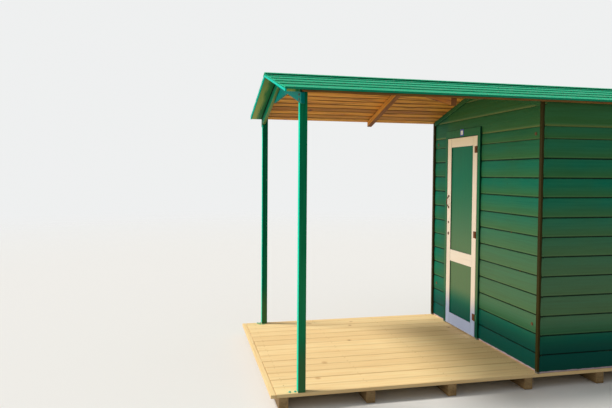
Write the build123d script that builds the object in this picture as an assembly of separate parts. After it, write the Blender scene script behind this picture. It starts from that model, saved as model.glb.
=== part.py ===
"""Bathing hut with an open porch, a pitched roof and one hinged door.

Millimetres. +Z is up, the porch faces -Y and the origin is the middle of the
footprint at ground level. Every node is written to parts/NODE.step.
"""
from build123d import *
import os

os.makedirs("parts", exist_ok=True)

# Driving dimensions: plan
HUT_W = 1970.0          # outer width over the side walls and over the posts
CABIN_D = 2000.0        # cabin, outer front face to outer back face
PORCH_D = 1985.0        # front of the posts to the face of the front wall
DECK_NOSE = 200.0       # deck in front of the posts
WALL_T = 60.0           # framed wall with its boards

# Driving dimensions: heights. The walls and the roof follow the door's height
OVER_DOOR_H = 143.0     # wall from the door frame to the gable's joint
EAVE_LIFT = 26.0        # ceiling above that joint, at the walls' outer faces
ROOF_SLOPE = 0.266      # rise over run

# Platform
BEARER_H = 92.0
BEARER_W = 70.0
BEARERS = 7
FLOOR_T = 28.0

# Roof
EAVE_OUT = 37.0         # ceiling boards beyond the side walls
ROOF_NOSE = 105.0       # roof in front of the posts
ROOF_TAIL = 50.0        # roof behind the back wall
CEILING_T = 18.0        # boards, measured square to the slope
COVER_T = 16.0          # green covering, measured square to the slope
COVER_LIP = 6.0
CAP_W = 78.0
CAP_T = 8.0
VERGE_T = 12.0
RIDGE_BEAM_W = 45.0
RIDGE_BEAM_H = 85.0
RAFTER_W = 48.0
RAFTER_H = 60.0
RAFTER_TO_WALL = 785.0  # middle rafter's centre in front of the wall

# Porch front
POST = 57.0
BARGE_T = 29.0
BARGE_H = 81.0
PLATE_T = 18.0
PLATE_HALF = 370.0
PLATE_DROP = 95.0       # plate's bottom edge under the barge boards' joint

# Doorway and door
LEAF_W = 608.0
LEAF_H = 1975.0
LEAF_T = 35.0
LEAF_CENTRE = -313.0
DECK_GAP = 10.0         # under the leaf
HINGE_GAP = 5.0
LOCK_GAP = 7.0          # wider, for the swinging inner edge
HEAD_GAP = 5.0
STOP_GAP = 5.0
STOP_LAP = 12.0
FRAME_T = 30.0
TRIM_T = 18.0
ARCHITRAVE_W = 46.0
ARCHITRAVE_TOP = 78.0
STILE_W = 82.0
RAIL_TOP_H = 95.0
RAIL_MID_H = 122.0
RAIL_MID_SHARE = 0.343   # middle rail's lower edge, as a share of the leaf's height
RAIL_BOTTOM_H = 124.0
PANEL_T = 14.0
PANEL_GROOVE = 10.0
SILL_H = 8.0

# Hinges and door furniture
HINGE_LOW = 193.0       # lowest hinge over the leaf's bottom edge
HINGE_TOP = 135.0       # top hinge under the leaf's top edge
HINGE_MID_LIFT = 18.0   # middle hinge over the leaf's middle
HINGE_H = 66.0
HINGE_DOOR_W = 48.0
HINGE_FRAME_W = 26.0
HINGE_LEAF_T = 2.5
KNUCKLE_R = 5.5
PIN_R = 3.0
PIN_CLEAR = 0.15
KNUCKLE_GAP = 1.0
PULL_BELOW = (730.0, 611.0)     # its two feet under the leaf's top edge
PULL_IN = 38.0          # furniture's middle from the leaf's edge
PULL_R = 6.0
PULL_OUT = 32.0
PULL_PAD_R = 13.0
PULL_PAD_T = 4.0
LOCK_BELOW = (890.0, 1010.0)
LOCK_R = (13.0, 17.0)
LOCK_T = 4.0
PLATE_NO = (72.0, 68.0, 3.0)
PLATE_NO_LIFT = 48.0     # plate's middle over the leaf's top edge
CAP_BOLT_R = 15.0
CAP_BOLT_T = 6.0
CAP_BOLT_IN = 106.0
CAP_BOLT_LOW = 379.0    # over the deck
CAP_BOLT_TOP = 225.0    # under the gable's joint
CORNER_W = 34.0
GABLE_TRIM_H = 46.0

# Derived planes
HALF = HUT_W / 2
Y_DECK = -(DECK_NOSE + PORCH_D + CABIN_D) / 2
Y_POST = Y_DECK + DECK_NOSE
Y_WALL = Y_POST + PORCH_D
Y_BACK = Y_WALL + CABIN_D
Y_ROOF_FRONT = Y_POST - ROOF_NOSE
Y_BARGE = Y_POST + BARGE_T
Y_PLATE = Y_BARGE + PLATE_T
Y_ROOF_BACK = Y_BACK + ROOF_TAIL
Z_DECK = BEARER_H + FLOOR_T
Z_SIDING = Z_DECK + DECK_GAP + LEAF_H + HEAD_GAP + FRAME_T + OVER_DOOR_H
Z_RIDGE = Z_SIDING + EAVE_LIFT + ROOF_SLOPE * HALF
X_EAVE = HALF + EAVE_OUT
SLANT = (1 + ROOF_SLOPE ** 2) ** 0.5
CEILING_V = CEILING_T * SLANT
COVER_V = COVER_T * SLANT
CAP_V = CAP_T * SLANT
BARGE_V = BARGE_H * SLANT
RAFTER_V = RAFTER_H * SLANT


def under(x):
    """Height of the ceiling's underside at a distance x from the ridge."""
    return Z_RIDGE - ROOF_SLOPE * abs(x)


def block(x0, x1, y0, y1, z0, z1):
    centre = Location(((x0 + x1) / 2, (y0 + y1) / 2, (z0 + z1) / 2))
    return centre * Box(abs(x1 - x0), abs(y1 - y0), abs(z1 - z0))


def prism(points, y0, y1):
    """Solid with the outline points (x, z), from y0 to y1."""
    outline = Polyline(*[(x, y0, z) for x, z in points], close=True)
    return extrude(make_face(outline), amount=y1 - y0, dir=(0, 1, 0))


def strip(x_in, x_out, lift, depth):
    """Outline of a sloping strip: lift above the ceiling's underside, depth tall."""
    return [
        (x_in, under(x_in) + lift),
        (x_out, under(x_out) + lift),
        (x_out, under(x_out) + lift + depth),
        (x_in, under(x_in) + lift + depth),
    ]


def chevron(x_out, lift, depth):
    """The same strip on both slopes as one outline, joined at the ridge."""
    return [
        (-x_out, under(x_out) + lift),
        (0, under(0) + lift),
        (x_out, under(x_out) + lift),
        (x_out, under(x_out) + lift + depth),
        (0, under(0) + lift + depth),
        (-x_out, under(x_out) + lift + depth),
    ]


def rod(radius, x, y, z0, z1):
    return Location((x, y, (z0 + z1) / 2)) * Cylinder(radius, z1 - z0)


def disc(radius, x, z, y0, y1):
    """Round plate whose axis is along Y."""
    return Location((x, (y0 + y1) / 2, z), (90, 0, 0)) * Cylinder(radius, y1 - y0)


def save(shape, name):
    shape.label = name
    export_step(shape, f"parts/{name}.step")


def group(solids):
    return Compound(children=list(solids))


# Platform: bearers across the hut, porch deck and cabin floor
first = Y_DECK + 60
pitch = (Y_BACK - 60 - BEARER_W - first) / (BEARERS - 1)
bearers = [
    block(-HALF, HALF, first + i * pitch, first + i * pitch + BEARER_W, 0, BEARER_H)
    for i in range(BEARERS)
]
save(group(bearers), "floor_bearers")
save(block(-HALF, HALF, Y_DECK, Y_WALL, BEARER_H, Z_DECK), "porch_deck")
save(block(-HALF, HALF, Y_WALL, Y_BACK, BEARER_H, Z_DECK), "cabin_floor")

# Porch posts, cut to the slope under the ceiling, with the barge boards let into their faces
for side, name in ((-1, "post_left"), (1, "post_right")):
    outer = side * HALF
    inner = side * (HALF - POST)
    points = [(inner, Z_DECK), (outer, Z_DECK), (outer, under(outer)), (inner, under(inner))]
    low = [(inner, Z_DECK), (outer, Z_DECK), (outer, under(outer) - BARGE_V), (inner, under(inner) - BARGE_V)]
    save(prism(points, Y_BARGE, Y_POST + POST) + prism(low, Y_POST, Y_BARGE), name)

# Barge boards flush with the posts' faces, out to the roof's edge, and the plate behind their joint
for side, name in ((-1, "barge_board_left"), (1, "barge_board_right")):
    save(prism(strip(0, side * X_EAVE, -BARGE_V, BARGE_V), Y_POST, Y_BARGE), name)
plate_z = Z_RIDGE - BARGE_V - PLATE_DROP
plate_points = [
    (-PLATE_HALF, plate_z),
    (PLATE_HALF, plate_z),
    (PLATE_HALF, under(PLATE_HALF)),
    (0, under(0)),
    (-PLATE_HALF, under(PLATE_HALF)),
]
save(prism(plate_points, Y_BARGE, Y_PLATE), "apex_plate")

# Ridge beam through both gables, and one rafter on each slope of the porch
beam = RIDGE_BEAM_W / 2
beam_z = under(0) - RIDGE_BEAM_H
beam_points = [(-beam, beam_z), (beam, beam_z), (beam, under(beam)), (0, under(0)), (-beam, under(beam))]
save(prism(beam_points, Y_PLATE, Y_BACK), "ridge_beam")
rafter_y = Y_WALL - RAFTER_TO_WALL
for side, name in ((-1, "porch_rafter_left"), (1, "porch_rafter_right")):
    points = strip(side * beam, side * HALF, -RAFTER_V, RAFTER_V)
    save(prism(points, rafter_y - RAFTER_W / 2, rafter_y + RAFTER_W / 2), name)

# Roof: ceiling boards, ridge cap, and the covering that laps over the verge strips
for side, name in ((-1, "left"), (1, "right")):
    boards = strip(0, side * X_EAVE, 0, CEILING_V)
    save(prism(boards, Y_ROOF_FRONT, Y_ROOF_BACK), f"roof_boards_{name}")
    cover = strip(0, side * (X_EAVE + COVER_LIP), CEILING_V, COVER_V)
    save(prism(cover, Y_ROOF_FRONT - VERGE_T, Y_ROOF_BACK + VERGE_T), f"roof_cover_{name}")
cap = chevron(CAP_W, CEILING_V + COVER_V, CAP_V)
save(prism(cap, Y_ROOF_FRONT - VERGE_T, Y_ROOF_BACK + VERGE_T), "ridge_cap")
verge = chevron(X_EAVE + COVER_LIP, 0, CEILING_V)
save(prism(verge, Y_ROOF_FRONT - VERGE_T, Y_ROOF_FRONT), "front_verge")
save(prism(verge, Y_ROOF_BACK, Y_ROOF_BACK + VERGE_T), "back_verge")

# Doorway: leaf edges, clearances and frame in one chain
leaf_x0 = LEAF_CENTRE - LEAF_W / 2
leaf_x1 = LEAF_CENTRE + LEAF_W / 2
leaf_z0 = Z_DECK + DECK_GAP
leaf_z1 = leaf_z0 + LEAF_H
open_x0 = leaf_x0 - LOCK_GAP
open_x1 = leaf_x1 + HINGE_GAP
open_z1 = leaf_z1 + HEAD_GAP
rough_x0 = open_x0 - FRAME_T
rough_x1 = open_x1 + FRAME_T
rough_z1 = open_z1 + FRAME_T
y_face = Y_WALL - TRIM_T
y_leaf_back = y_face + LEAF_T
y_inner = Y_WALL + WALL_T

# Walls
save(block(-HALF, rough_x0, Y_WALL, y_inner, Z_DECK, Z_SIDING), "front_wall_left")
save(block(rough_x1, HALF, Y_WALL, y_inner, Z_DECK, Z_SIDING), "front_wall_right")
save(block(rough_x0, rough_x1, Y_WALL, y_inner, rough_z1, Z_SIDING), "front_wall_over_door")
save(block(-HALF, HALF, Y_BACK - WALL_T, Y_BACK, Z_DECK, Z_SIDING), "back_wall")
gable = [
    (-HALF, Z_SIDING),
    (HALF, Z_SIDING),
    (HALF, under(HALF)),
    (beam, under(beam)),
    (beam, beam_z),
    (-beam, beam_z),
    (-beam, under(beam)),
    (-HALF, under(HALF)),
]
save(prism(gable, Y_WALL, y_inner), "front_gable")
save(prism(gable, Y_BACK - WALL_T, Y_BACK), "back_gable")
for side, name in ((-1, "left_wall"), (1, "right_wall")):
    outer = side * HALF
    inner = side * (HALF - WALL_T)
    points = [(inner, Z_DECK), (outer, Z_DECK), (outer, under(outer)), (inner, under(inner))]
    save(prism(points, y_inner, Y_BACK - WALL_T), name)

# Corner strips on the front and back faces, and the sloping trim under the ceiling
corners = []
for side in (-1, 1):
    outer = side * HALF
    inner = side * (HALF - CORNER_W)
    points = [(inner, Z_DECK), (outer, Z_DECK), (outer, under(outer)), (inner, under(inner))]
    corners.append(prism(points, y_face, Y_WALL))
    corners.append(prism(points, Y_BACK, Y_BACK + TRIM_T))
save(group(corners), "corner_strips")
trims = []
trim_v = GABLE_TRIM_H * SLANT
for side in (-1, 1):
    points = strip(side * beam, side * (HALF - CORNER_W), -trim_v, trim_v)
    trims.append(prism(points, y_face, Y_WALL))
save(group(trims), "gable_trims")

# Door frame with its stops, sill and architrave
frame_points = [
    (rough_x0, Z_DECK),
    (open_x0, Z_DECK),
    (open_x0, open_z1),
    (open_x1, open_z1),
    (open_x1, Z_DECK),
    (rough_x1, Z_DECK),
    (rough_x1, rough_z1),
    (rough_x0, rough_z1),
]
stop_x0 = leaf_x0 + STOP_LAP
stop_x1 = leaf_x1 - STOP_LAP
stop_z1 = leaf_z1 - STOP_LAP
stop_points = [
    (rough_x0, Z_DECK),
    (stop_x0, Z_DECK),
    (stop_x0, stop_z1),
    (stop_x1, stop_z1),
    (stop_x1, Z_DECK),
    (rough_x1, Z_DECK),
    (rough_x1, rough_z1),
    (rough_x0, rough_z1),
]
stop_y = y_leaf_back + STOP_GAP
door_frame = prism(frame_points, Y_WALL, stop_y) + prism(stop_points, stop_y, y_inner)
save(door_frame, "door_frame")
save(block(stop_x0, stop_x1, stop_y, y_inner, Z_DECK, Z_DECK + SILL_H), "door_sill")
arch_x0 = open_x0 - ARCHITRAVE_W
arch_x1 = open_x1 + ARCHITRAVE_W
arch_z1 = open_z1 + ARCHITRAVE_TOP
architrave = [
    (arch_x0, Z_DECK),
    (open_x0, Z_DECK),
    (open_x0, open_z1),
    (open_x1, open_z1),
    (open_x1, Z_DECK),
    (arch_x1, Z_DECK),
    (arch_x1, arch_z1),
    (arch_x0, arch_z1),
]
save(prism(architrave, y_face, Y_WALL), "architrave")

# Door leaf: stiles, rails and two panels held in their grooves
inner_x0 = leaf_x0 + STILE_W
inner_x1 = leaf_x1 - STILE_W
mid_z = leaf_z0 + RAIL_MID_SHARE * LEAF_H
rail_z = (
    ("door_rail_top", leaf_z1 - RAIL_TOP_H, leaf_z1),
    ("door_rail_middle", mid_z, mid_z + RAIL_MID_H),
    ("door_rail_bottom", leaf_z0, leaf_z0 + RAIL_BOTTOM_H),
)
panel_y0 = y_face + (LEAF_T - PANEL_T) / 2
panel_y1 = panel_y0 + PANEL_T
panels = (
    ("door_panel_upper", rail_z[1][2], rail_z[0][1]),
    ("door_panel_lower", rail_z[2][2], rail_z[1][1]),
)
panel_solids = {
    name: block(
        inner_x0 - PANEL_GROOVE, inner_x1 + PANEL_GROOVE,
        panel_y0, panel_y1, z0 - PANEL_GROOVE, z1 + PANEL_GROOVE,
    )
    for name, z0, z1 in panels
}
grooves = panel_solids["door_panel_upper"] + panel_solids["door_panel_lower"]
stiles = (("door_stile_lock", leaf_x0, inner_x0), ("door_stile_hinge", inner_x1, leaf_x1))
for name, x0, x1 in stiles:
    save(block(x0, x1, y_face, y_leaf_back, leaf_z0, leaf_z1) - grooves, name)
for name, z0, z1 in rail_z:
    save(block(inner_x0, inner_x1, y_face, y_leaf_back, z0, z1) - grooves, name)
for name, solid in panel_solids.items():
    save(solid, name)

# Hinges: pin and outer knuckles on the frame, middle knuckle on the door
pin_x = leaf_x1 + HINGE_GAP / 2
pin_y = y_face - KNUCKLE_R - 0.5
third = HINGE_H / 3
plate_free = KNUCKLE_R + 2.5
frame_leaves = []
door_leaves = []
hinge_z = (leaf_z0 + HINGE_LOW, (leaf_z0 + leaf_z1) / 2 + HINGE_MID_LIFT, leaf_z1 - HINGE_TOP)
for z in hinge_z:
    z0 = z - HINGE_H / 2
    z1 = z0 + HINGE_H
    mid0 = z0 + third
    mid1 = z1 - third
    leaf_y = y_face - HINGE_LEAF_T
    fixed = block(pin_x + plate_free, pin_x + HINGE_FRAME_W, leaf_y, y_face, z0, z1)
    for low, high in ((z0, mid0 - KNUCKLE_GAP), (mid1 + KNUCKLE_GAP, z1)):
        fixed += rod(KNUCKLE_R, pin_x, pin_y, low, high)
        fixed += block(pin_x, pin_x + plate_free, leaf_y, y_face - 0.5, low, high)
    fixed += rod(PIN_R, pin_x, pin_y, z0, z1)
    frame_leaves.append(fixed)
    moving = block(pin_x - HINGE_DOOR_W, pin_x - plate_free, leaf_y, y_face, z0, z1)
    moving += block(pin_x - plate_free, pin_x, leaf_y, y_face - 0.5, mid0, mid1)
    moving += rod(KNUCKLE_R, pin_x, pin_y, mid0, mid1)
    moving -= rod(PIN_R + PIN_CLEAR, pin_x, pin_y, mid0, mid1)
    door_leaves.append(moving)
save(group(frame_leaves), "hinge_leaves_frame")
save(group(door_leaves), "hinge_leaves_door")

# Door furniture on the lock stile, and the number plate over the door
furn_x = leaf_x0 + PULL_IN
low = leaf_z1 - PULL_BELOW[0]
high = leaf_z1 - PULL_BELOW[1]
grip_y = y_face - PULL_OUT + PULL_R
pull = rod(PULL_R, furn_x, grip_y, low - PULL_R, high + PULL_R)
for z in (low, high):
    pull += disc(PULL_R, furn_x, z, grip_y, y_face)
    pull += disc(PULL_PAD_R, furn_x, z, y_face - PULL_PAD_T, y_face)
save(pull, "door_pull")
locks = [disc(r, furn_x, leaf_z1 - z, y_face - LOCK_T, y_face) for r, z in zip(LOCK_R, LOCK_BELOW)]
save(group(locks), "lock_plates")
no_w, no_h, no_t = PLATE_NO
no_z = leaf_z1 + PLATE_NO_LIFT
save(
    block(
        LEAF_CENTRE - no_w / 2, LEAF_CENTRE + no_w / 2,
        y_face - no_t, y_face, no_z - no_h / 2, no_z + no_h / 2,
    ),
    "number_plate",
)
bolts = []
for side in (-1, 1):
    for z in (Z_DECK + CAP_BOLT_LOW, Z_SIDING - CAP_BOLT_TOP):
        x = side * (HALF - CAP_BOLT_IN)
        bolts.append(disc(CAP_BOLT_R, x, z, Y_WALL - CAP_BOLT_T, Y_WALL))
save(group(bolts), "wall_bolt_caps")
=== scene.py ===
# %% [markdown]
# # A beach hut with an open porch
# The hut is a small timber house: a board cabin, and in front of it a porch under
# the same low roof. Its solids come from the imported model. This lesson dresses them
# as a carpenter and a painter would: board by board, then coat by coat.

import math
import random

import bpy
from mathutils import Matrix, Vector


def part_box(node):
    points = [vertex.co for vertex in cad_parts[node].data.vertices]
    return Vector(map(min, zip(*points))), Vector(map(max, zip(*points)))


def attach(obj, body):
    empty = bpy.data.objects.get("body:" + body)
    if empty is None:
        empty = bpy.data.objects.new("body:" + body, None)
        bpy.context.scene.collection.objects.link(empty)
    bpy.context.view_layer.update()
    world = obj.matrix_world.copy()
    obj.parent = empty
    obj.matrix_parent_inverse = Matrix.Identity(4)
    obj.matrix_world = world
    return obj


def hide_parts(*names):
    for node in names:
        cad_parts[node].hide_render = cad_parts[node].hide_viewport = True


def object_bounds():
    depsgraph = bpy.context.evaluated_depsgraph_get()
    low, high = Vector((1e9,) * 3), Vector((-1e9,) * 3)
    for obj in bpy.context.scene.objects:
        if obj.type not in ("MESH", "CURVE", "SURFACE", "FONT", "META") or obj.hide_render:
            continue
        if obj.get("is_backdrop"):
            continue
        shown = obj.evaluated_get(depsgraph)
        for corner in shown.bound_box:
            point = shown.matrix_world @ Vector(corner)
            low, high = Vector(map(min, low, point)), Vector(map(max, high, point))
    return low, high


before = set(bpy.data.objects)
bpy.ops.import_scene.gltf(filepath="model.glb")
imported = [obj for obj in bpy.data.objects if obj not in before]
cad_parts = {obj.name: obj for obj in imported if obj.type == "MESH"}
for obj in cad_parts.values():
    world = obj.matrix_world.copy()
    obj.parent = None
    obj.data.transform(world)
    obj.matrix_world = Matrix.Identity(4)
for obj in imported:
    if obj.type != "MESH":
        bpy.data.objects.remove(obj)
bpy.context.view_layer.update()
luck = random.Random(7)

# %% [markdown]
# ## Measures
# Every board goes where a solid is, so the measures are read from the solids' boxes
# and not written twice. The roof's slope is the one number that a box doesn't tell.

# %% Read the main measures
SLOPE = 0.266
tilt = math.atan(SLOPE)
slope_x = {side: (math.cos(tilt), 0, -side * math.sin(tilt)) for side in (-1, 1)}
slope_z = {side: (side * math.sin(tilt), 0, math.cos(tilt)) for side in (-1, 1)}
sides = ((-1, "left"), (1, "right"))
ceiling_low, ceiling_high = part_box("roof_boards_right")
cover_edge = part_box("roof_cover_right")[1].x
ridge = ceiling_low.z + SLOPE * ceiling_high.x
post_low, post_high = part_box("post_right")
half = post_high.x
deck_low, deck_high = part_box("porch_deck")
deck_top = deck_high.z
wall_y = deck_high.y
back_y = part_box("back_wall")[1].y
siding_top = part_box("front_wall_right")[1].z
wall_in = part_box("front_wall_right")[1].y - wall_y
barge_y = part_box("barge_board_right")[0].y
X, Y, Z = (1, 0, 0), (0, 1, 0), (0, 0, 1)
TO_FRONT = (0, -1, 0)


def under(x):
    """Height of the ceiling's underside at x from the ridge."""
    return ridge - SLOPE * abs(x)


print("ridge", round(ridge, 3), "deck", deck_top, "front wall", wall_y)

# %% [markdown]
# ## Camera
# The camera stands at eye height beside the hut's right front corner, and looks
# across the porch at the door, nodding down a little. The lens and the place come
# from the vanishing points and the known height of the door.

# %% Set the camera
EYE = (4.8766, -2.7053, 1.7102)
TURN, NOD, LEAN = (math.radians(a) for a in (12.488, 1.906, 0.406))
PICTURE_WIDTH = 612
FOCAL_PIXELS = 552.6
SHIFT_PIXELS = -10.7

camera = bpy.data.objects.new("camera", bpy.data.cameras.new("camera"))
bpy.context.scene.collection.objects.link(camera)
bpy.context.scene.camera = camera
ahead = Vector((-math.cos(TURN) * math.cos(NOD), math.sin(TURN) * math.cos(NOD), -math.sin(NOD)))
level = Vector((math.sin(TURN), math.cos(TURN), 0))
upright = level.cross(ahead)
right = level * math.cos(LEAN) + upright * math.sin(LEAN)
top = upright * math.cos(LEAN) - level * math.sin(LEAN)
looking = Matrix((right, top, -ahead)).transposed().to_4x4()
camera.matrix_world = Matrix.Translation(EYE) @ looking
camera.data.lens = FOCAL_PIXELS * camera.data.sensor_width / PICTURE_WIDTH
camera.data.shift_y = SHIFT_PIXELS / PICTURE_WIDTH
print("lens", round(camera.data.lens, 2), "mm")

# %% [markdown]
# ## Lamps
# A soft lamp stands high over the open side of the porch. A second, much softer one
# is low in front, because a roof this deep would otherwise leave the door in the
# dark, and an even world light fills what is left.

# %% Set up the lamps
bpy.context.scene.view_settings.view_transform = "Standard"
for name, way, energy, angle, colour in (
    ("high_lamp", (-0.16, -0.62, 1), 2.25, 12, (1, 0.97, 0.92)),
    ("low_lamp", (-0.15, -1, 0.16), 1.95, 50, (1, 0.97, 0.93)),
):
    bpy.ops.object.light_add(type="SUN")
    lamp = bpy.context.object
    lamp.name = name
    lamp.rotation_euler = Vector(way).to_track_quat("Z", "Y").to_euler()
    lamp.data.energy = energy
    lamp.data.angle = math.radians(angle)
    lamp.data.color = colour
    print(name, energy)

# %% [markdown]
# ## Shader nodes and floor
# A finish is a graph of nodes. These helpers write it like a sum: each takes the
# sockets that feed it, finds the graph they lie in, and hands back its own socket.
# The floor, the first thing made with them, fades into the world at its rim, so that
# no edge of it shows. Only rays that come from the camera, from gloss and through
# glass see the pale background, which keeps the light on the hut plain.

# %% Helpers for shader nodes


def feed(node, inputs):
    """Gives each of these sockets a value, or a link from another node."""
    for name, value in inputs.items():
        if isinstance(value, bpy.types.NodeSocket):
            node.id_data.links.new(value, node.inputs[name])
        else:
            node.inputs[name].default_value = value


def put(tree, kind, inputs=(), **settings):
    """Adds a shader node and sets it. Inputs are a dict, or the first ones in order."""
    made = tree.nodes.new("ShaderNode" + kind)
    for name, value in settings.items():
        setattr(made, name, value)
    feed(made, inputs if isinstance(inputs, dict) else dict(enumerate(inputs)))
    return made


def tree_of(*values):
    """The node tree that the first socket among these values lies in."""
    return next(value.id_data for value in values if isinstance(value, bpy.types.NodeSocket))


def maths(operation, a, b, clamp=False):
    return put(tree_of(a, b), "Math", (a, b), operation=operation, use_clamp=clamp).outputs[0]


def plus(a, b, clamp=False):
    return maths("ADD", a, b, clamp)


def minus(a, b):
    return maths("SUBTRACT", a, b)


def times(first, *others):
    for other in others:
        first = maths("MULTIPLY", first, other)
    return first


def blend(share, first, second, how="MIX"):
    made = put(tree_of(share), "Mix", {0: share, 6: first, 7: second}, data_type="RGBA", blend_type=how)
    return made.outputs[2]


def seen_ray(tree):
    """1 for rays from the camera, from gloss and through glass."""
    path = put(tree, "LightPath").outputs
    seen = maths("MAXIMUM", path["Is Camera Ray"], path["Is Glossy Ray"])
    return maths("MAXIMUM", seen, path["Is Transmission Ray"])


print("node helpers ready")

# %% Set up world and floor
world = bpy.data.worlds.new("pale_room")
bpy.context.scene.world = world
world.use_nodes = True
tree = world.node_tree
tree.nodes.clear()
fill = put(tree, "Background", {"Color": (0.93, 0.97, 1, 1), "Strength": 0.34})
pale = put(tree, "Background", {"Color": (0.86, 0.87, 0.87, 1), "Strength": 1.0})
both = put(tree, "MixShader", (seen_ray(tree), fill.outputs[0], pale.outputs[0]))
put(tree, "OutputWorld", {"Surface": both.outputs[0]})

bpy.ops.mesh.primitive_circle_add(vertices=96, radius=30, fill_type="NGON", location=(0, 0, -0.002))
floor = bpy.context.object
floor.name = "floor"
floor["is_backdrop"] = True
paper = bpy.data.materials.new("pale_floor")
paper.use_nodes = True
tree = paper.node_tree
tree.nodes.clear()
spot = put(tree, "TexCoord").outputs["Object"]
away = put(tree, "VectorMath", (spot,), operation="LENGTH").outputs["Value"]
reach = {"Value": away, "From Min": 5.0, "From Max": 22.0}
rim = put(tree, "MapRange", reach, interpolation_type="SMOOTHSTEP")
shown = blend(seen_ray(tree), (0.5, 0.49, 0.46, 1), (0.84, 0.83, 0.81, 1))
matt = put(tree, "BsdfDiffuse", {"Color": shown})
clear = put(tree, "BsdfTransparent")
both = put(tree, "MixShader", (rim.outputs[0], matt.outputs[0], clear.outputs[0]))
put(tree, "OutputMaterial", {"Surface": both.outputs[0]})
floor.data.materials.append(paper)
print(floor.name, "and", world.name)

# %% [markdown]
# ## Noise and masks
# Paint and wood are mostly noise at the right scale. These small helpers keep each
# finish short: a colour, a noise, and a soft step that turns it into a mask.

# %% Helpers for finishes


def tone(red, green, blue):
    """A colour written as on a screen, 0 to 255, turned into light."""
    shares = [value / 255 for value in (red, green, blue)]
    return (*(c / 12.92 if c < 0.04045 else ((c + 0.055) / 1.055) ** 2.4 for c in shares), 1.0)


def noise(place, scale, detail=2.0, rough=0.55):
    made = {"Vector": place, "Scale": scale, "Detail": detail, "Roughness": rough}
    return put(tree_of(place), "TexNoise", made).outputs["Fac"]


def streaks(place, stretch, detail=2.0, rough=0.6):
    """Noise that is finer along one axis than another: stretch has a scale for each."""
    scaled = put(tree_of(place), "VectorMath", (place, stretch), operation="MULTIPLY").outputs[0]
    return noise(scaled, 1.0, detail, rough)


def step(value, low, high, start=0.0, end=1.0):
    """Runs softly from start to end while the value goes from low to high."""
    made = {"Value": value, "From Min": low, "From Max": high, "To Min": start, "To Max": end}
    return put(tree_of(value), "MapRange", made, interpolation_type="SMOOTHSTEP").outputs[0]


def split(place):
    """The three parts of a place or a colour."""
    return put(tree_of(place), "SeparateXYZ", (place,)).outputs


def effect(name, takes, gives):
    """An empty effect: its tree, what comes in, and the node that takes what goes out."""
    group = bpy.data.node_groups.new(name, "ShaderNodeTree")
    for labels, way in ((takes, "INPUT"), (gives, "OUTPUT")):
        for label, kind in labels.items():
            group.interface.new_socket(label, in_out=way, socket_type="NodeSocket" + kind)
    return group, group.nodes.new("NodeGroupInput").outputs, group.nodes.new("NodeGroupOutput")


def use(group, **values):
    """Places an effect in the material that its inputs come from."""
    made = put(tree_of(*values.values()), "Group", node_tree=group)
    feed(made, values)
    return made.outputs


print("helpers ready")

# %% [markdown]
# ## Wood figure
# Sawn pine shows three things: long fibres, broader rings that run along the board
# and bend round the knots, and the knots. Each board stores on its points where it
# lies along, across and through the grain, so one effect serves boards that run in
# any direction, and two boards never show the same figure.

# %% Effect: wood figure
KNOT_CELLS = 4.2

wood_figure, given, out = effect(
    "wood_figure", {"Grain": "Vector"}, dict.fromkeys(("Rings", "Fibre", "Knot", "Halo"), "Float")
)
grain = given["Grain"]
flat = put(wood_figure, "VectorMath", (grain, (1, 1, 0.08)), operation="MULTIPLY").outputs[0]
cells = put(wood_figure, "TexVoronoi", {"Vector": flat, "Scale": KNOT_CELLS, "Randomness": 0.9}).outputs
apart = maths("DIVIDE", cells["Distance"], KNOT_CELLS)
size = step(split(cells["Color"])[0], 0.25, 1.0, 0.0, 0.016)
near = step(minus(times(size, 2.6), apart), 0.0, 0.022)
along, across, through = split(grain)
shift = plus(times(streaks(grain, (1.6, 7, 7), 2, 0.5), 0.11), times(near, 0.012))
bent = put(wood_figure, "CombineXYZ", (plus(across, shift), times(along, 0.12), through)).outputs[0]
flattened = put(wood_figure, "VectorMath", (bent, (1, 0.35, 0.5)), operation="MULTIPLY").outputs[0]
feed(out, {
    "Knot": step(minus(size, apart), 0.0, 0.006),
    "Halo": near,
    "Rings": step(noise(flattened, 55, 2, 0.6), 0.3, 0.7),
    "Fibre": step(streaks(grain, (5, 210, 210)), 0.3, 0.72),
})
print(wood_figure.name, "nodes", len(wood_figure.nodes))

# %% [markdown]
# ## Worn corners and weather
# Paint wears first where hands and feet touch it, on the corners. The Bevel node
# rounds the normal near a corner: where it differs from the real one, a corner is
# near. Brooms and wet feet wear the lowest strip, so that mask follows the height.

# %% Effects: worn corners, weather
worn_corner, given, out = effect(
    "worn_corner", {"Place": "Vector", "Radius": "Float"}, {"Corner": "Float"}
)
soft = put(worn_corner, "Bevel", {"Radius": given["Radius"]}, samples=4).outputs[0]
true = put(worn_corner, "NewGeometry").outputs["Normal"]
agree = put(worn_corner, "VectorMath", (soft, true), operation="DOT_PRODUCT").outputs["Value"]
rubs = step(noise(given["Place"], 9.0, 4, 0.65), 0.5, 0.62)
feed(out, {"Corner": times(step(agree, 0.995, 0.86), rubs)})

weather, given, out = effect(
    "weather", {"Place": "Vector"}, dict.fromkeys(("Low", "Cloud", "Fleck"), "Float")
)
ragged = plus(split(given["Place"])[2], times(noise(given["Place"], 14, 3), -0.016))
feed(out, {
    "Low": step(ragged, deck_top + 0.010, deck_top + 0.002),
    "Cloud": step(noise(given["Place"], 2.3, 3, 0.6), 0.32, 0.68),
    "Fleck": step(noise(given["Place"], 60, 3, 0.7), 0.60, 0.68),
})
print(worn_corner.name, weather.name)

# %% [markdown]
# ## Paint
# Every painted board gets the same coat: a base colour that drifts a little from
# board to board, brush lines along the grain, a thinner and duller coat on the
# corners, and a worn strip near the deck. Each board also knows how far up its own
# width a point is: grime sits in its joints, and on the wall boards the two tones run
# into each other from its lower to its upper edge as a painted reflection, the deck's
# olive below and the sky's teal above. Some coats also carry painted shade and painted
# bounce light by height, and painted highlights beside the joints. The Principled
# shader stays in the material.

# %% Start and end any finish


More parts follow.
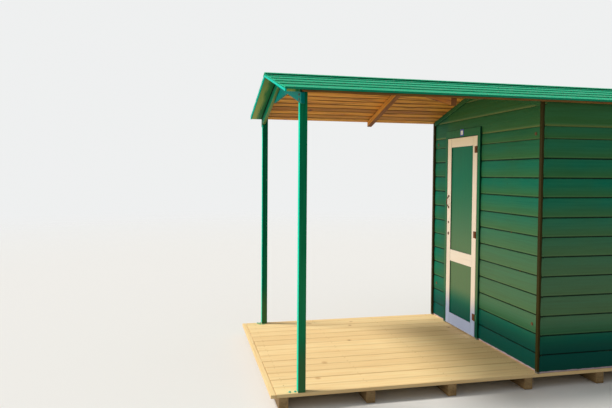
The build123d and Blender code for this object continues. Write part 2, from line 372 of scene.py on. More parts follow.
def finish(name):
    """A new material, its Principled shader, and where the pattern lies.

    The last three come from the board's points: its grain, its own random share,
    and how far across its width a point is.
    """
    material = bpy.data.materials.new(name)
    material.use_nodes = True
    tree = material.node_tree
    place = put(tree, "TexCoord").outputs["Object"]
    grain = put(tree, "Attribute", attribute_name="grain").outputs["Vector"]
    tint, span = (put(tree, "Attribute", attribute_name=name).outputs["Fac"] for name in ("tint", "span"))
    return material, tree.nodes["Principled BSDF"], place, grain, tint, span


def finished(shader, colour, rough, relief, strength=0.35, deep=0.002, **others):
    """Joins colour, roughness and relief to the shader, and others by their names."""
    heights = {"Height": relief, "Strength": strength, "Distance": deep}
    made = put(tree_of(relief), "Bump", heights)
    feed(shader, {"Base Color": colour, "Roughness": rough, "Normal": made.outputs[0], **others})


print("finish helpers ready")

# %% Painted wood
OAK = tone(150, 118, 78)
CHALK = tone(84, 168, 124)
BROOM_GREY = tone(150, 150, 140)
# The dark of dirty joints, and of painted shade along the barge boards and soffits.
GRIME_AND_SHADE = tone(0, 18, 11)
PLAIN = {"wear": 0.3, "grime_and_shade": 0.0}


def height_bands(colour, across, height, mid, high):
    """Painted light by height: a tone under the roof and a band at half height, both painted bounce light
    from the deck; the band fades out towards the left end, which gets painted shade instead.
    """
    if high:
        colour = blend(step(height, 1.6, 2.5, 0.0, 0.85), colour, high)
    if mid:
        band = times(step(height, 0.36, 0.58), step(height, 1.7, 0.75, 0.0, 0.75))
        colour = blend(times(band, step(across, -0.86, -0.56)), colour, mid)
        # Painted shade: the left end is darker where the bounce band above fades out.
        colour = blend(step(across, -0.62, -0.7, 0.0, 0.5), colour, tone(0, 84, 62))
    return colour


def board_joints(colour, span, height, gap, grime_and_shade, ribbed):
    """Darkens the joints with dirt, and where gap is set low a wider band along a board's
    top as painted shade. Siding boards also get a painted highlight, a pale line just
    over each joint, which under the roof turns olive and takes most of the dark's place."""
    joint = step(span, gap, gap + 0.035)
    if not ribbed:
        return blend(times(joint, grime_and_shade), colour, GRIME_AND_SHADE)
    # Painted highlight: a pale line just above each joint, where the rounded edge would catch light from
    # the deck.
    worn = times(step(span, 0.05, 0.075), step(span, 0.14, 0.075), step(height, 0.3, 0.5, 0.0, 0.3))
    colour = blend(worn, colour, tone(112, 138, 90))
    under_roof = step(height, 1.95, 2.15)
    joint = maths("MAXIMUM", step(span, 0.066, 0.038), joint)
    colour = blend(times(joint, minus(1.0, times(under_roof, 0.7)), grime_and_shade), colour, GRIME_AND_SHADE)
    under_roof_highlight = times(under_roof, step(span, 0.075, 0.045), 0.6)
    return blend(under_roof_highlight, colour, tone(128, 138, 74))


def painted(
    name, coat, deep, light=CHALK, bare=OAK, strip=BROOM_GREY, foot=0.5, gloss=0.42, wear=0.5,
    figure=0.25, grime_and_shade=0.9, brushed=0.14, ribbed=0.0, low=None, mid=None, high=None, shine=0.05,
    gap=0.93, deck_bounce=None,
):
    """Paint on wood: coat and deep are its two tones, light its chalky wear.

    ribbed is how far each board runs from deep at its lower edge to coat at its
    upper one, a painted reflection of the deck below and the sky above. low, mid and
    high are the tones near the deck, at half height and under the roof: painted shade
    low down and painted bounce light above. strip with its share foot is what feet and
    brooms leave. From gap of its width upwards a board is dark: dirt in a joint, and
    painted shade where gap is set low. The tone for a front edge is painted bounce
    light from the deck, more so lower down.
    """
    material, shader, place, grain, tint, span = finish(name)
    wood = use(wood_figure, Grain=grain)
    air = use(weather, Place=place)
    corner = use(worn_corner, Place=place, Radius=0.005)["Corner"]
    across, ahead_of, height = split(place)
    share = step(tint, 0.0, 1.0, 0.0, 0.5)
    # Painted reflection: each board runs from the deck's olive at its lower edge to the sky's teal at its
    # upper edge.
    if ribbed:
        share = plus(times(share, 0.3), step(span, 0.75, 0.05, 0.0, ribbed), clamp=True)
    colour = blend(share, coat, deep)
    colour = blend(times(air["Cloud"], 0.3), colour, deep)
    colour = height_bands(colour, across, height, mid, high)
    brush = streaks(grain, (2.2, 70, 70), 3)
    colour = blend(step(brush, 0.35, 0.75, 0.0, brushed), colour, light)
    colour = blend(step(brush, 0.5, 0.2, 0.0, brushed * 0.8), colour, tone(90, 110, 90), "MULTIPLY")
    # Painted shade: a darker teal near the deck.
    if low:
        colour = blend(step(height, 0.56, 0.28, 0.0, 0.94), colour, low)
    # Painted bounce light: olive from the deck on the front edge, more so lower down.
    if deck_bounce:
        uneven = plus(ahead_of, times(streaks(grain, (6, 40, 40), 4, 0.65), 0.07))
        deck_lit_edge = step(uneven, barge_y + 0.004, barge_y - 0.038)
        colour = blend(times(deck_lit_edge, step(height, 2.62, 2.34, 0.3, 0.95)), colour, deck_bounce)
    colour = board_joints(colour, span, height, gap, grime_and_shade, ribbed)
    colour = blend(times(wood["Knot"], 0.2), colour, tone(40, 60, 40))
    colour = blend(times(air["Low"], foot), colour, strip)
    thin = times(corner, wear)
    chip = times(corner, air["Fleck"])
    colour = blend(chip, blend(thin, colour, light), bare)
    dull = step(brush, 0.2, 0.8, gloss - 0.06, gloss + 0.12)
    rough = plus(dull, plus(times(thin, 0.2), times(air["Low"], 0.2)))
    relief = plus(times(wood["Rings"], figure), times(brush, 0.5))
    relief = minus(relief, times(chip, 0.6))
    finished(shader, colour, rough, relief, **{"Specular IOR Level": shine})
    return material


print("ready to paint")

# %% Mix the paints
# low, mid and high: painted shade near the deck and painted bounce light above it; the ribs paint a
# reflection.
wall_paint = painted(
    "wall_green", tone(0, 118, 92), tone(54, 112, 62), strip=tone(205, 184, 196), foot=0.95, wear=0.3,
    brushed=0.1, ribbed=0.9, low=tone(0, 72, 64), mid=tone(94, 122, 86), high=tone(58, 96, 38),
)
# low and mid: painted bounce light from the deck; the left post gets painted shade.
post_paint = painted(
    "post_green", tone(0, 118, 78), tone(0, 106, 66), tone(40, 150, 100), foot=0.0, brushed=0.32,
    low=tone(66, 112, 68), mid=tone(34, 136, 84), shine=0.02, **PLAIN,
)
# A lit copy of the post green: painted sunlight for the posts' front faces and the foot bolts.
sunlit_paint = painted(
    "sunlit_green", tone(0, 214, 176), tone(0, 192, 152), tone(60, 226, 196), shine=0.01, **PLAIN,
)
# gap 0.85 paints a band of shade along the top under the soffit, with some dirt.
barge_paint = painted(
    "barge_green", tone(14, 110, 76), tone(10, 96, 64), tone(36, 138, 106), wear=0.3, brushed=0.25,
    shine=0.02, gap=0.85,
)
# A bluer copy of the barge green: painted sky reflection, for the right barge board and the apex plate.
sky_sheen_paint = painted(
    "barge_sky_sheen", tone(0, 128, 118), tone(0, 108, 96), tone(20, 156, 144), wear=0.3, grime_and_shade=0.6,
    shine=0.01,
)
# Painted bounce light: the lit olive of the barge boards' undersides.
underside_bounce_paint = painted("underside_bounce_olive", tone(118, 146, 84), tone(92, 122, 62), tone(140, 160, 100), **PLAIN)
# A bright cyan copy of the green: painted sunlight and sky sheen on the verge boards.
verge_sunlit_paint = painted(
    "verge_sunlit_green", tone(0, 200, 178), tone(0, 182, 156), tone(10, 212, 190), wear=0.2, grime_and_shade=0.0,
    shine=0.01,
)
# low, mid and high: painted shade near the deck and painted bounce light above it.
trim_paint = painted(
    "trim_green", tone(14, 118, 80), tone(44, 106, 60), grime_and_shade=0.0, brushed=0.1, low=tone(0, 68, 54),
    mid=tone(104, 122, 80), high=tone(60, 98, 46),
)
# gap 0.88 paints shade next to the barge board, and the front-edge tone paints bounce light from the
# deck.
eaves_paint = painted(
    "eaves_olive", tone(12, 120, 66), tone(34, 112, 60), tone(110, 150, 90), wear=0.3, brushed=0.4,
    gap=0.88, deck_bounce=tone(168, 182, 92),
)
corner_paint = painted(
    "corner_olive", tone(56, 50, 18), tone(34, 32, 10), tone(96, 72, 24), tone(120, 72, 24), wear=0.6,
    grime_and_shade=0.0,
)
# low and high paint light: a bluish sky tint near the deck and a warm bounce at the top.
cream_paint = painted(
    "door_cream", tone(255, 242, 222), tone(252, 232, 208), tone(255, 250, 240), tone(168, 136, 96),
    strip=tone(176, 172, 184), gloss=0.36, wear=0.2, figure=0.15, grime_and_shade=0.15,
    low=tone(160, 176, 210), high=tone(255, 236, 176),
)
# low, mid and high: painted shade near the deck and painted bounce light above it.
panel_paint = painted(
    "panel_green", tone(26, 116, 86), tone(50, 118, 78), wear=0.3, figure=0.12, grime_and_shade=0.35,
    brushed=0.08, low=tone(0, 78, 66), mid=tone(116, 134, 92), high=tone(26, 112, 82),
)
# The panels' green on the door's inner edges, darkened as painted shade; on the architrave's sides it is
# painted shade alone.
bead_and_shade_paint = painted(
    "bead_green_and_shade", tone(8, 74, 50), tone(4, 58, 40), tone(40, 110, 80), wear=0.2, figure=0.1, grime_and_shade=0.0,
)
print("paints ready")

# %% [markdown]
# ## Bare wood
# The ceiling, rafters and deck were never painted. Water leaves dark stains in and
# beside the joints, and the knots stay darkest. The ceiling is honey brown, while
# light and scrubbing keep the deck pale. A little green paint ran off the left post.

# %% Bare wood


def bare_wood(
    name, light, middle, dark, knot, ring=None, halo=0.45, tints=0.6, stain=0.5, joints=0.0, drops=(),
):
    """Pine with no paint on it. drops are spots of green paint: place and radius."""
    material, shader, place, grain, tint, span = finish(name)
    wood = use(wood_figure, Grain=grain)
    colour = blend(wood["Rings"], light, middle)
    colour = blend(step(tint, 0.0, 1.0, 0.0, tints), colour, dark)
    smear = step(streaks(grain, (1.9, 24, 24), 4, 0.65), 0.48, 0.66)
    colour = blend(times(smear, stain), colour, dark)
    if joints:
        wet = streaks(grain, (3.0, 8, 8))
        edge = maths("ABSOLUTE", minus(span, 0.5), 0.0)
        colour = blend(step(plus(edge, times(wet, 0.22)), 0.50, 0.57, 0.0, joints), colour, knot)
    colour = blend(times(wood["Fibre"], 0.22), colour, light)
    colour = blend(times(wood["Halo"], halo), colour, ring or dark)
    colour = blend(wood["Knot"], colour, knot)
    for spot, radius in drops:
        away = put(tree_of(place), "VectorMath", (place, spot), operation="DISTANCE").outputs["Value"]
        colour = blend(step(away, radius, radius * 0.4, 0.0, 0.7), colour, tone(40, 168, 112))
    rough = minus(step(wood["Fibre"], 0.0, 1.0, 0.62, 0.82), times(wood["Knot"], 0.15))
    relief = plus(times(wood["Rings"], 0.5), times(wood["Fibre"], 0.4))
    relief = minus(relief, times(wood["Knot"], 0.4))
    finished(shader, colour, rough, relief, 0.5, **{"Specular IOR Level": 0.3})
    return material


spills = ((0.070, -0.016, 0.026), (0.062, 0.014, 0.024), (0.040, 0.026, 0.018))
drops = [
    ((inward - half, post_low.y - ahead_of, deck_top), radius) for inward, ahead_of, radius in spills
]
ceiling_wood = bare_wood(
    "ceiling_pine", tone(250, 184, 76), tone(226, 138, 44), tone(124, 64, 14), tone(44, 22, 8),
    tints=0.7, stain=0.75, joints=0.85,
)
rafter_wood = bare_wood(
    "rafter_pine", tone(166, 108, 48), tone(132, 78, 28), tone(84, 46, 14), tone(50, 30, 14),
)
beam_wood = bare_wood(
    "weathered_beam", tone(128, 124, 110), tone(104, 98, 86), tone(70, 66, 58), tone(42, 38, 34),
)
deck_wood = bare_wood(
    "deck_pine", tone(254, 226, 168), tone(252, 216, 154), tone(226, 184, 124), tone(164, 118, 70),
    ring=tone(200, 152, 96), halo=0.6, tints=0.4, stain=0.35, joints=0.2, drops=drops,
)
bearer_wood = bare_wood(
    "bearer_pine", tone(170, 140, 96), tone(140, 112, 74), tone(96, 76, 50), tone(60, 44, 28),
)
frame_wood = bare_wood(
    "frame_pine", tone(214, 172, 114), tone(192, 148, 92), tone(150, 110, 64), tone(90, 60, 34),
)
print("bare woods ready")

# %% [markdown]
# ## Roof, metal and enamel
# The roof's paint takes full light all day, so it is brighter and chalky in patches,
# and darker along each lap, a painted shade where one course lies over the next. Damp
# air turns the hinges and nails brown. The number plate is enamel, the one hard and
# glossy thing on the hut.

# %% Roof paint


def roof_coat():
    material, shader, place, grain, tint, span = finish("roof_green")
    wood = use(wood_figure, Grain=grain)
    corner = use(worn_corner, Place=place, Radius=0.008)["Corner"]
    colour = blend(step(tint, 0.0, 1.0, 0.0, 0.6), tone(0, 172, 124), tone(6, 146, 100))
    patch = streaks(grain, (1.4, 9, 9), 4, 0.65)
    colour = blend(step(patch, 0.45, 0.75, 0.0, 0.35), colour, tone(60, 190, 146))
    colour = blend(step(streaks(place, (3, 34, 3), 3), 0.55, 0.8, 0.0, 0.4), colour, tone(20, 98, 68))
    # Painted shade along both edges of each course, where one course laps over the next.
    lap_shade = maths("MAXIMUM", step(span, 0.16, 0.0), step(span, 0.90, 1.0))
    colour = blend(times(lap_shade, 0.55), colour, tone(10, 84, 58))
    colour = blend(times(corner, 0.2), colour, tone(90, 204, 164))
    relief = plus(times(wood["Rings"], 0.3), patch)
    rough = step(patch, 0.2, 0.8, 0.52, 0.78)
    finished(shader, colour, rough, relief, **{"Specular IOR Level": 0.12})
    return material


roof_paint = roof_coat()
print(roof_paint.name)

# %% Metals and enamel


def rusted(place, fine, rust, dark):
    """Rust in two browns, mottled at a fine scale."""
    return blend(step(noise(place, fine, 3, 0.7), 0.35, 0.7), rust, dark)


def metal(name, clean, rust, dark, share, gloss):
    """Metal that rusts: share says how much of it is brown."""
    material, shader, place, *_ = finish(name)
    scab = noise(place, 85, 4, 0.7)
    brown = step(scab, 0.72 - share * 0.5, 0.80 - share * 0.5)
    colour = blend(brown, clean, rusted(place, 260, rust, dark))
    corner = use(worn_corner, Place=place, Radius=0.0015)["Corner"]
    colour = blend(times(corner, 0.5), colour, clean)
    rough = step(brown, 0.0, 1.0, gloss, 0.85)
    finished(shader, colour, rough, scab, 0.6, 0.0008, Metallic=step(brown, 0.0, 1.0, 0.9, 0.15))
    return material


def painted_steel(name, paint, rust, dark):
    """Steel that was painted with the frame, and rusts where the pin turns."""
    material, shader, place, *_ = finish(name)
    scab = noise(place, 130, 4, 0.7)
    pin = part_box("hinge_leaves_door")[1].x - 0.005
    bare = plus(step(split(place)[0], pin + 0.010, pin + 0.004), step(scab, 0.60, 0.66), clamp=True)
    shade = blend(step(noise(place, 60, 3), 0.3, 0.7, 0.0, 0.35), paint, CHALK)
    colour = blend(bare, shade, rusted(place, 300, rust, dark))
    finished(shader, colour, step(bare, 0.0, 1.0, 0.45, 0.85), scab, 0.6, 0.0008)
    return material


def enamel(name, glaze, shade):
    """Glass-hard enamel, chipped to the iron at its corners."""
    material, shader, place, *_ = finish(name)
    colour = blend(step(noise(place, 40, 3), 0.4, 0.7, 0.0, 0.4), glaze, shade)
    corner = use(worn_corner, Place=place, Radius=0.0012)["Corner"]
    lost = times(corner, step(noise(place, 180), 0.45, 0.5))
    colour = blend(lost, colour, tone(96, 64, 44))
    rough = step(lost, 0.0, 1.0, 0.22, 0.8)
    finished(shader, colour, rough, minus(noise(place, 120), lost), 0.15, 0.0004)
    return material


frame_steel = painted_steel("painted_steel", tone(40, 108, 70), tone(150, 84, 34), tone(70, 40, 20))
rusty = metal("rusty_steel", tone(104, 74, 44), tone(132, 68, 20), tone(50, 30, 12), 0.9, 0.6)
iron = metal("brown_iron", tone(128, 106, 90), tone(140, 94, 64), tone(74, 52, 38), 0.6, 0.5)
bolt_iron = metal("bolt_iron", tone(136, 112, 84), tone(128, 88, 50), tone(74, 52, 30), 0.7, 0.5)
zinc = metal("zinc_nail", tone(150, 148, 140), tone(134, 92, 58), tone(88, 64, 44), 0.45, 0.4)
yellow_zinc = metal(
    "yellow_screw", tone(216, 188, 128), tone(196, 156, 98), tone(150, 112, 66), 0.4, 0.5,
)
white_enamel = enamel("white_enamel", tone(232, 228, 214), tone(214, 204, 184))
blue_enamel = enamel("blue_enamel", tone(28, 58, 140), tone(22, 44, 112))
print("all finishes:", len(bpy.data.materials))

# %% [markdown]
# ## Working with pieces
# A few helpers do the carpentry. One picks pieces, one saws a block and planes its
# corners, one softens a copy of a solid, and one lays copies of a board side by
# side. After that each board gets its own stretch of grain.

# %% Picking and shaping


def pick(*pieces):
    """Deselects everything, then selects these, the first one active."""
    bpy.ops.object.select_all(action="DESELECT")
    for piece in pieces:
        piece.select_set(True)
    bpy.context.view_layer.objects.active = pieces[0]


def edit(piece, what="SELECT"):
    pick(piece)
    bpy.ops.object.mode_set(mode="EDIT")
    bpy.ops.mesh.select_all(action=what)


def done():
    bpy.ops.object.mode_set(mode="OBJECT")


def choose(piece, kind, test):
    """Enters edit mode with only the faces or edges that pass: test(middle, way)."""
    edit(piece, "DESELECT")
    bpy.ops.mesh.select_mode(type=kind)
    done()
    mesh = piece.data
    if kind == "FACE":
        for face in mesh.polygons:
            face.select = test(face.center, face.normal)
    else:
        for line in mesh.edges:
            a, b = (mesh.vertices[i].co for i in line.vertices)
            line.select = test((a + b) / 2, (b - a).normalized())
    bpy.ops.object.mode_set(mode="EDIT")


def plane_corners(piece, by, rounds=2, sharp=30):
    edit(piece, "DESELECT")
    bpy.ops.mesh.select_mode(type="EDGE")
    bpy.ops.mesh.edges_select_sharp(sharpness=math.radians(sharp))
    bpy.ops.mesh.bevel(offset=by, segments=rounds, affect="EDGES", clamp_overlap=True)
    done()


def sawn(piece, spot, normal):
    """Saws off what lies on the normal's side of a plane, and closes the cuts."""
    edit(piece)
    bpy.ops.mesh.bisect(plane_co=spot, plane_no=normal, use_fill=True, clear_outer=True)
    done()


def settled():
    """The new piece, with its place written into its mesh."""
    bpy.ops.object.transform_apply(location=True, rotation=True, scale=True)
    return bpy.context.object


def block(name, low, high, by=0.0, rounds=2):
    low, high = Vector(low), Vector(high)
    bpy.ops.mesh.primitive_cube_add(size=1, location=(low + high) / 2, scale=high - low)
    piece = settled()
    piece.name = name
    if by:
        plane_corners(piece, by, rounds)
    return piece


def disc(count, radius, thick, at, facing_front=True):
    """A round plate of so many corners, lying flat or facing the front. Six make a nut."""
    tipped = (math.pi / 2, 0, 0) if facing_front else (0, 0, 0)
    bpy.ops.mesh.primitive_cylinder_add(
        vertices=count, radius=radius, depth=thick, location=at, rotation=tipped
    )
    return settled()


def smoothed(piece, degrees):
    pick(piece)
    bpy.ops.object.shade_smooth_by_angle(angle=math.radians(degrees))


# %% Grain, copies and the last touch


def give_grain(board, along, across):
    """Stores where each point lies along, across and through the grain.

    tint is one random share for the whole board, and span is how far across its
    own width a point is, from 0 to 1.
    """
    along, across = Vector(along), Vector(across)
    axes = (along, across, along.cross(across))
    shift = [luck.uniform(-40, 40) for _ in axes]
    mesh = board.data
    points = [v.co for v in mesh.vertices]
    widths = [p.dot(across) for p in points]
    start, wide = min(widths), max(widths) - min(widths)
    marks = {
        "grain": ("FLOAT_VECTOR", "vector", [p.dot(a) + s for p in points for a, s in zip(axes, shift)]),
        "tint": ("FLOAT", "value", [luck.random()] * len(points)),
        "span": ("FLOAT", "value", [(w - start) / wide for w in widths]),
    }
    for name, (kind, what, values) in marks.items():
        if name in mesh.attributes:
            mesh.attributes.remove(mesh.attributes[name])
        mesh.attributes.new(name, kind, "POINT").data.foreach_set(what, values)


def joined(name, boards):
    pick(*boards)
    if len(boards) > 1:
        bpy.ops.object.join()
    piece = bpy.context.object
    piece.name = piece.data.name = name
    return piece


def laid(name, board, places, along, across, keep=False):
    """Copies of one board, each in its own place, joined into one piece."""
    boards = []
    for place in places:
        copy = bpy.data.objects.new(name, board.data.copy())
        bpy.context.scene.collection.objects.link(copy)
        copy.matrix_world = place
        boards.append(copy)
    pick(*boards)
    settled()
    for copy in boards:
        give_grain(copy, along, across)
    if not keep:
        bpy.data.objects.remove(board)
    return joined(name, boards)


def timber(node, name, along, across, by=0.003, rounds=2):
    """A copy of a solid with its triangles merged into whole faces and its corners
    planed. Every loose board of it gets its own stretch of grain."""
    piece = bpy.data.objects.new(name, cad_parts[node].data.copy())
    bpy.context.scene.collection.objects.link(piece)
    piece.data.name = name
    piece.data.materials.clear()
    edit(piece)
    bpy.ops.mesh.customdata_custom_splitnormals_clear()
    bpy.ops.mesh.remove_doubles(threshold=0.00001)
    bpy.ops.mesh.dissolve_limited(angle_limit=0.01)
    done()
    plane_corners(piece, by, rounds)
    edit(piece)
    bpy.ops.mesh.separate(type="LOOSE")
    done()
    boards = list(bpy.context.selected_objects)
    for board in boards:
        give_grain(board, along, across)
    return joined(piece.name, [piece] + [b for b in boards if b != piece])


def fit(piece, body, slot, *materials, stands_for=()):
    """Last touch: paint, body and the solids that the piece stands for; slot is not used."""
    for material in materials:
        piece.data.materials.append(material)
    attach(piece, body)
    if stands_for:
        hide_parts(*stands_for)
    print(piece.name, len(piece.data.polygons), "faces")
    return piece


def milled(node, name, along, across, slot, material, by=0.003, rounds=2, body="hut"):
    """A finished timber: a solid's copy, painted, that stands for the solid."""
    return fit(timber(node, name, along, across, by, rounds), body, slot, material, stands_for=[node])


def recoat(piece, material, test):
    """Gives another finish to the faces that pass the test (centre, normal)."""
    piece.data.materials.append(material)
    number = len(piece.data.materials) - 1
    for face in piece.data.polygons:
        if test(face.center, face.normal):
            face.material_index = number


def moved(x=0.0, y=0.0, z=0.0, turn=0.0, axis="Z", size=(1, 1, 1)):
    return Matrix.Translation((x, y, z)) @ Matrix.Rotation(turn, 4, axis) @ Matrix.Diagonal((*size, 1))


def wobble(by):
    """A small random shift, as no two boards lie alike."""
    return luck.uniform(-by, by)


print("carpentry helpers ready")

# %% [markdown]
# ## Screws and nails
# A screw head is a small disc with a rounded rim and a slot. It is modelled once,
# with few faces because hundreds are needed, and every copy is turned at random.

# %% Model one screw head and one nail head


def screw_head(radius, slot=True):
    head = disc(12, radius, 0.0016, (0, 0, 0.0004), facing_front=False)
    choose(head, "FACE", lambda middle, way: way.z > 0.9)
    bpy.ops.mesh.inset(thickness=radius * 0.3, depth=radius * 0.12)
    if slot:
        bpy.ops.mesh.inset(thickness=radius * 0.35, depth=0)
        bpy.ops.transform.resize(value=(1, 0.22, 1))
        down = (0, 0, -radius * 0.2)
        bpy.ops.mesh.extrude_region_move(TRANSFORM_OT_translate={"value": down})
    done()
    return head


def facing(spot, way, most_turn):
    """Place of a head that points this way, turned at random up to an angle."""
    tipped = Vector(way).to_track_quat("Z", "Y").to_matrix().to_4x4()
    turned = Matrix.Rotation(luck.uniform(0, most_turn), 4, "Z") if most_turn else Matrix()
    return Matrix.Translation(spot) @ tipped @ turned


def heads(name, points, way, radius, material, slot_name, body="hut", slot=True):
    """Screw or nail heads at these points, standing on a face."""
    head = screw_head(radius, slot)
    piece = laid(name, head, [facing(point, way, most_turn=3) for point in points], X, Y)
    return fit(piece, body, slot_name, material)


print("screw head ready")

# %% [markdown]
# ## Bearers and deck
# The hut stands on bearers, and the deck boards run from the wall to a narrow nose
# board along the front. One board is sawn and planed, then copied across the width
# with tiny differences in length and height, and with gaps from tight to open. The
# last one is ripped to the width that is left.

# %% Lay the deck
milled("floor_bearers", "bearers", X, Z, "deck_wood", bearer_wood, 0.004)

PITCH = 0.145
WHOLE_BOARDS = 13
NOSE = 0.038
SINK = 0.0006
edges = [-half] + [half - PITCH * k for k in range(WHOLE_BOARDS, -1, -1)]


def boards_between(name, node, y0, y1, extra=()):
    low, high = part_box(node)
    board = block("deck_board", (-PITCH / 2, 0, low.z), (PITCH / 2, y1 - y0, high.z - SINK), 0.0022)
    places = []
    for a, b in zip(edges, edges[1:]):
        trim = luck.uniform(0, 0.0025)
        gap = luck.uniform(0.0006, 0.0034)
        size = ((b - a - gap) / PITCH, 1 - trim / (y1 - y0), 1)
        places.append(moved((a + b) / 2, y0 + trim, wobble(SINK), size=size))
    boards = laid(name, board, places, Y, X)
    return fit(joined(name, [boards, *extra]), "hut", "deck_wood", deck_wood, stands_for=[node])


nose_high = (half, deck_low.y + NOSE, deck_top - SINK)
nose = block("nose_board", (-half, deck_low.y, deck_low.z), nose_high, 0.003, 2)
give_grain(nose, X, Y)
boards_between("deck_boards", "porch_deck", deck_low.y + NOSE + 0.002, wall_y, [nose])
boards_between("cabin_floor_boards", "cabin_floor", wall_y, back_y)

# %% Screw the deck down
BEARERS = 7
SCREWED_BEARERS = 4
BEARER_MIDDLE = 0.035
NOSE_SCREW = 0.06
EDGE_TO_SCREW = 0.026
points = []
bearer_low, bearer_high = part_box("floor_bearers")
bearer_pitch = (bearer_high.y - bearer_low.y - 2 * BEARER_MIDDLE) / (BEARERS - 1)
for i in range(SCREWED_BEARERS):
    y = bearer_low.y + (BEARER_MIDDLE + i * bearer_pitch if i else NOSE_SCREW)
    for a, b in zip(edges, edges[1:]):
        for side in (-1, 1):
            spread = side * ((b - a) / 2 - EDGE_TO_SCREW)
            points.append(((a + b) / 2 + spread + wobble(0.004), y + wobble(0.006), deck_top - SINK))
heads("deck_screws", points, Z, 0.0034, yellow_zinc, "rusty_steel")

# %% [markdown]
# ## Siding
# The wall boards are slightly rounded across their width, which makes the walls
# look ribbed. One board is modelled with its two long front corners bevelled by a
# share of the faces beside them, then stretched to each length and height. A thin
# tongue on its upper edge closes the joint to the board above.

# %% Model one siding board
ROWS = [
    0.121, 0.266, 0.422, 0.579, 0.739, 0.899, 1.058, 1.217,
    1.374, 1.536, 1.694, 1.852, 2.012, 2.113, siding_top,
]
SKIN = 0.02
ROUNDED = 0.013
JOINT = 0.003


def siding_board():
    board = block("siding_board", (-0.5, ROUNDED, -0.5), (0.5, SKIN, 0.5))
    choose(board, "FACE", lambda middle, way: way.y < -0.9)
    bpy.ops.mesh.extrude_region_move(TRANSFORM_OT_translate={"value": (0, -ROUNDED, 0)})
    done()
    choose(board, "EDGE", lambda middle, way: abs(middle.y) < 1e-4 and abs(way.x) > 0.9)
    bpy.ops.mesh.bevel(offset_type="PERCENT", offset_pct=49, segments=7, profile=0.42, affect="EDGES")
    done()
    tongue = block("tongue", (-0.5, 0.0145, 0.46), (0.5, 0.0185, 0.56))
    return joined("siding_board", [board, tongue])


siding_master = siding_board()
print("siding board:", len(siding_master.data.polygons), "faces")
FRONT, RIGHT, BACK, LEFT = range(4)
TURNS = (0, math.pi / 2, math.pi, -math.pi / 2)
INWARD = ((0, 1), (-1, 0), (0, -1), (1, 0))


def wall_place(x0, x1, z0, z1, plane, side):
    """Place of a board from x0 to x1 along the wall on one side of the hut."""
    sunk = luck.uniform(0, 0.0012)
    middle, z = (x0 + x1) / 2, (z0 + z1) / 2 + wobble(0.0005)
    size = (abs(x1 - x0), 1, z1 - z0 - JOINT)
    depth = plane + sunk * sum(INWARD[side])
    x, y = (middle, depth) if side in (FRONT, BACK) else (depth, middle)
    return moved(x, y, z, TURNS[side], size=size)


def siding(name, runs, plane, side, stands_for, cuts=()):
    """Boards for runs of (x0, x1, z0, z1), smooth across their rounded faces."""
    along = X if side in (FRONT, BACK) else Y
    places = [wall_place(*run, plane, side) for run in runs]
    piece = laid(name, siding_master, places, along, Z, keep=True)
    for cut in cuts:
        sawn(piece, *cut)
    smoothed(piece, 22)
    fit(piece, "hut", "green_paint", wall_paint, stands_for=[stands_for])
    inward = Vector((*INWARD[side], 0))
    recoat(piece, frame_wood, lambda middle, way: way.dot(inward) > 0.9)


# %% [markdown]
# ## Front wall
# The rows stop at the door frame, and one wide board goes over the doorway from
# corner to corner. The gable is two more rows, sawn to the roof's slope.

# %% Board the front wall and the gables
rough_low, rough_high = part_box("door_frame")
rows = list(zip(ROWS, ROWS[1:]))
for label, x0, x1 in (("left", -half, rough_low.x), ("right", rough_high.x, half)):
    runs = [(x0, x1, a, b) for a, b in rows[:-1]]
    siding("front_siding_" + label, runs, wall_y, FRONT, "front_wall_" + label)
siding("front_siding_over_door", [(-half, half, *rows[-1])], wall_y, FRONT, "front_wall_over_door")

GABLE_JOINT = 2.45
gable_runs = [(-half, half, siding_top, GABLE_JOINT), (-half, half, GABLE_JOINT, ridge + 0.002)]
for end, plane, side in (("front", wall_y, FRONT), ("back", back_y, BACK)):
    cuts = [((0, plane, ridge - 0.0005), (way * SLOPE, 0, 1)) for way in (-1, 1)]
    siding(end + "_gable_siding", gable_runs, plane, side, end + "_gable", cuts)
siding("back_siding", [(-half, half, a, b) for a, b in rows], back_y, BACK, "back_wall")

# %% Nail the siding
NAIL_COLUMNS = (-0.955, -0.72, 0.12, 0.553, 0.955)
RUSTY_NAILS = ((0.555, 1.222), (0.695, 0.905))
nails = [
    (x + wobble(0.004), wall_y + 0.0018, z + 0.02 + wobble(0.003))
    for z in ROWS[1:-2] for x in NAIL_COLUMNS
]
proud = [(x, wall_y + 0.003, z) for x, z in RUSTY_NAILS]
heads("siding_nails", nails, TO_FRONT, 0.003, wall_paint, "green_paint", slot=False)
heads("proud_nails", proud, TO_FRONT, 0.006, rusty, "rusty_steel", slot=False)

# %% [markdown]
# ## Side walls
# Nothing of the sides shows in the photograph, so they get the front wall's rows,
# without a window.

# %% Board the side walls
side_rows = rows[:-1] + [(rows[-1][0], under(half) - 0.001)]
runs = [(wall_y + SKIN, back_y - SKIN, a, b) for a, b in side_rows]
siding("left_siding", runs, -half, LEFT, "left_wall")
siding("right_siding", runs, half, RIGHT, "right_wall")
bpy.data.objects.remove(siding_master)

# %% [markdown]
# ## Wall frame
# Behind the boards stands a light frame of studs and rails. It only shows through
# the open door, but it is what makes the cabin hollow and carries the roof.

# %% Frame the walls
STUD = 0.045
FRONT_STUDS = [0.49]
BACK_STUDS = [-0.31, 0.31]


